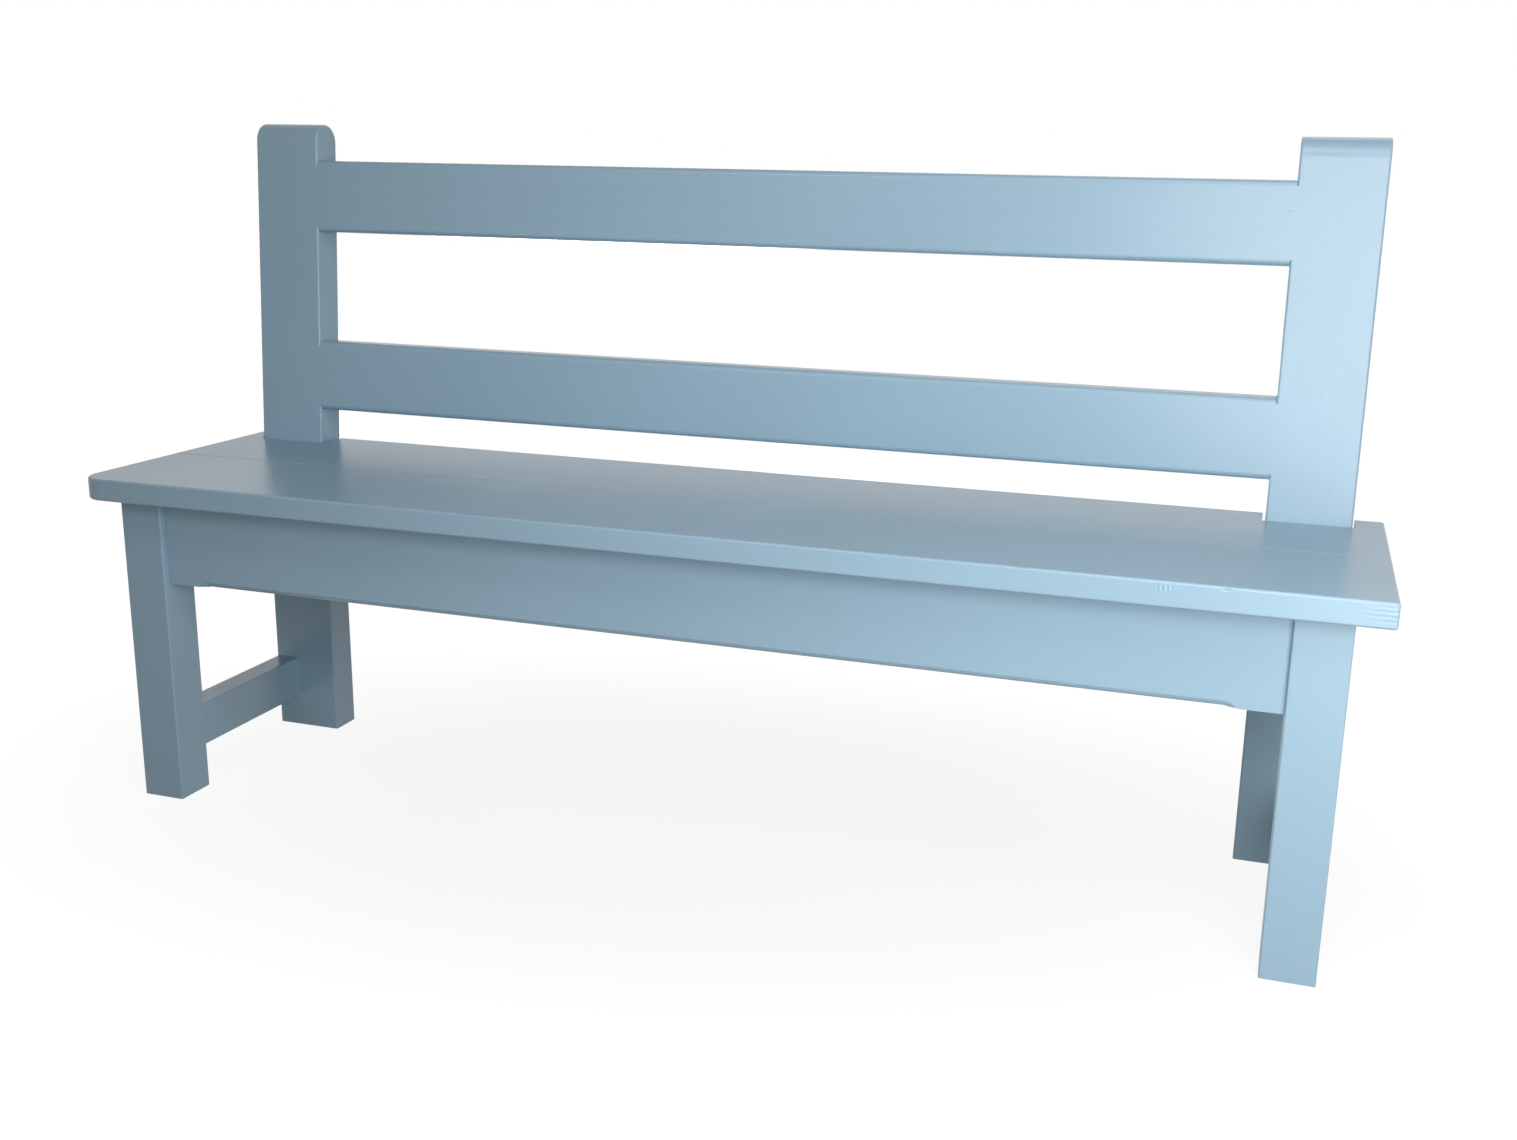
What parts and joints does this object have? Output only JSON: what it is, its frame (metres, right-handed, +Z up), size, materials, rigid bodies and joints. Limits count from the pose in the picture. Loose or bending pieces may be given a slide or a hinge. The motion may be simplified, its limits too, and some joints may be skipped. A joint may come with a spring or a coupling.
{
  "type": "bench settle",
  "caption": "Painted wooden bench settle with a leaning back of flat rails, a boarded seat, deep aprons, square legs and low side stretchers.",
  "frame": {"origin": "on the floor, under the middle of the whole bench", "axes": "+X along the bench to the right as seen from the front, +Y from the front to the back, +Z up"},
  "size_m": [1.621, 0.4199, 0.906],
  "materials": {
    "painted_wood": "satin blue-grey paint over pine, brushed",
    "bare_pine": "planed, unpainted",
    "beech_dowel": "fluted, unfinished",
    "zinc_steel": "zinc plated"
  },
  "bodies": {
    "root": {"rear_post_left": "painted_wood", "rear_post_right": "painted_wood", "front_leg_left": "painted_wood", "front_leg_right": "painted_wood", "back_lower_rail": "painted_wood", "back_top_rail": "painted_wood", "front_apron": "painted_wood", "rear_apron": "painted_wood", "side_apron_left": "painted_wood", "side_apron_right": "painted_wood", "side_stretcher_left": "painted_wood", "side_stretcher_right": "painted_wood", "seat_board_front": "painted_wood", "seat_board_rear": "painted_wood", "seat_bearer_left": "bare_pine", "seat_bearer_middle": "bare_pine", "seat_bearer_right": "bare_pine", "corner_block_front_left": "bare_pine", "corner_block_front_right": "bare_pine", "corner_block_rear_left": "bare_pine", "corner_block_rear_right": "bare_pine", "seat_joint_dowels": "beech_dowel", "seat_screws": "zinc_steel", "corner_block_screws": "zinc_steel"}
  },
  "joints": []
}
